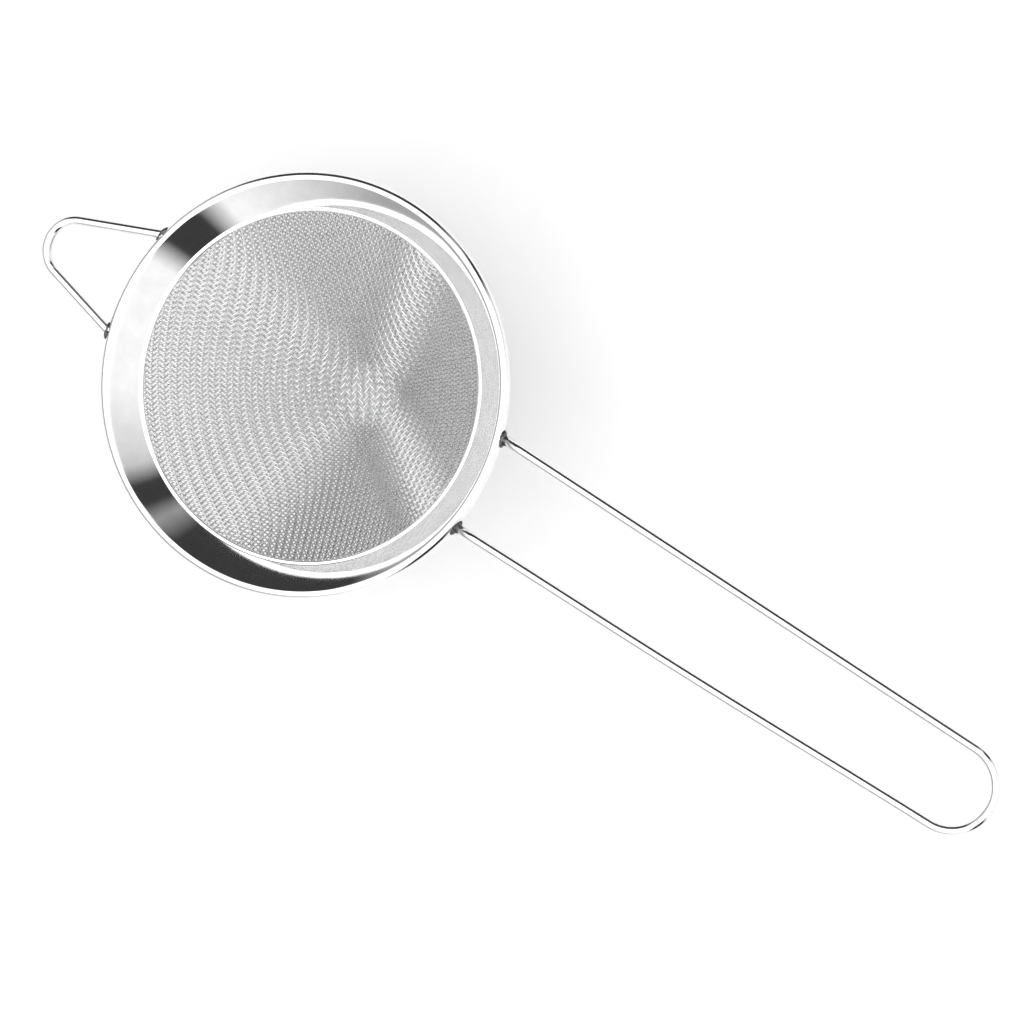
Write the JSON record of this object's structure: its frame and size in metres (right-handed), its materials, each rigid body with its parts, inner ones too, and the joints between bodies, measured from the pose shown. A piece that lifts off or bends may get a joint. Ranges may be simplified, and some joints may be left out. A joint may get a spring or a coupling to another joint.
{
  "type": "tea strainer",
  "caption": "Hand-held conical tea strainer: woven wire cone clamped in a rolled sheet-metal rim, with a long wire loop handle and a short wire loop that rests on the cup.",
  "frame": {"origin": "centre of the rim, in the plane of the undersides of the handle and rest wires, where they lie on a cup's edge", "axes": "+X from the rim's centre along the handle to its end bend, +Z out of the open side of the bowl, +Y to the left when looking along the handle"},
  "size_m": [0.2233, 0.085, 0.0515],
  "materials": {
    "rim_steel": "mirror-polished stainless steel sheet",
    "clamp_steel": "bright rolled stainless steel sheet, not polished",
    "cloth_steel": "bright drawn stainless wire, twill woven",
    "wire_steel": "polished stainless steel wire",
    "weld_steel": "resistance-weld flash, tumbled but darker than the wire"
  },
  "bodies": {
    "root": {"rim_band": "rim_steel", "clamp_ring": "clamp_steel", "mesh_cone": "cloth_steel", "handle_wire": "wire_steel", "rest_loop": "wire_steel", "handle_weld_left": "weld_steel", "handle_weld_right": "weld_steel", "rest_weld_left": "weld_steel", "rest_weld_right": "weld_steel"}
  },
  "joints": []
}
